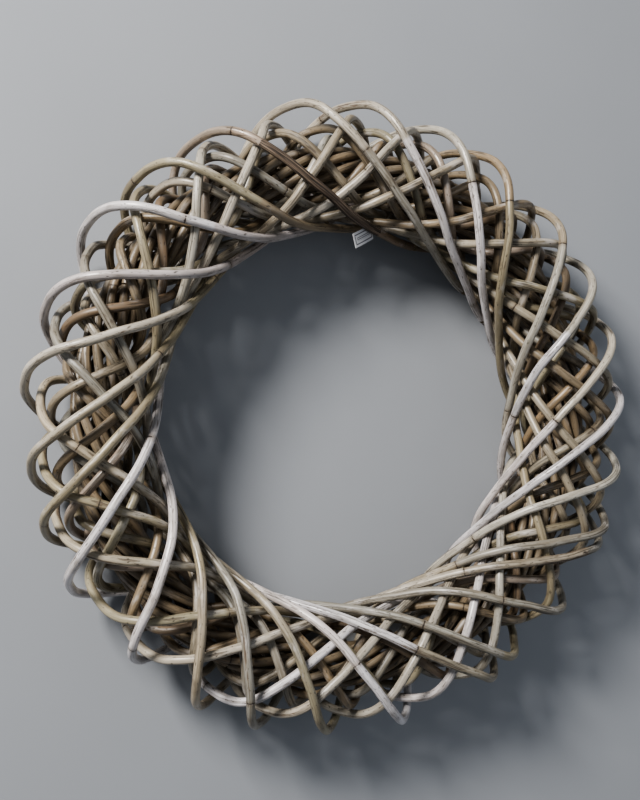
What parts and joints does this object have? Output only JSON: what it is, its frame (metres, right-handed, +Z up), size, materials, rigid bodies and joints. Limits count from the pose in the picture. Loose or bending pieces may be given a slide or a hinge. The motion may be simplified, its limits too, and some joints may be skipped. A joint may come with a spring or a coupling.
{
  "type": "cane wreath",
  "caption": "Ring wreath of bleached and tan round canes, wound in crossing layers over core hoops, open in the middle, with a small blank card tag.",
  "frame": {"origin": "centre of the footprint, on the surface that the wreath lies on", "axes": "+Z up along the ring's axis, towards the side that the picture shows; +Y towards the top of the ring in the picture; +X to the right in the picture"},
  "size_m": [0.4919, 0.4966, 0.0944],
  "materials": {
    "outer_cane": "satin, bleached",
    "second_cane": "satin, weathered",
    "third_cane": "satin, tan",
    "fourth_cane": "dull, brown",
    "core_hoop": "dull, dark brown",
    "paper_tag": "matt card"
  },
  "bodies": {
    "root": {"core_hoop_1": "core_hoop", "core_hoop_2": "core_hoop", "core_hoop_3": "core_hoop", "core_hoop_4": "core_hoop", "core_hoop_5": "core_hoop", "core_hoop_6": "core_hoop", "core_hoop_7": "core_hoop", "core_hoop_8": "core_hoop", "core_hoop_9": "core_hoop", "fourth_cane_1": "fourth_cane", "fourth_cane_2": "fourth_cane", "fourth_cane_3": "fourth_cane", "outer_cane_1": "outer_cane", "outer_cane_2": "outer_cane", "outer_cane_3": "outer_cane", "outer_cane_4": "outer_cane", "outer_cane_5": "outer_cane", "outer_cane_6": "outer_cane", "paper_tag": "paper_tag", "second_cane_1": "second_cane", "second_cane_2": "second_cane", "second_cane_3": "second_cane", "second_cane_4": "second_cane", "second_cane_5": "second_cane", "third_cane_1": "third_cane", "third_cane_2": "third_cane", "third_cane_3": "third_cane"}
  },
  "joints": []
}
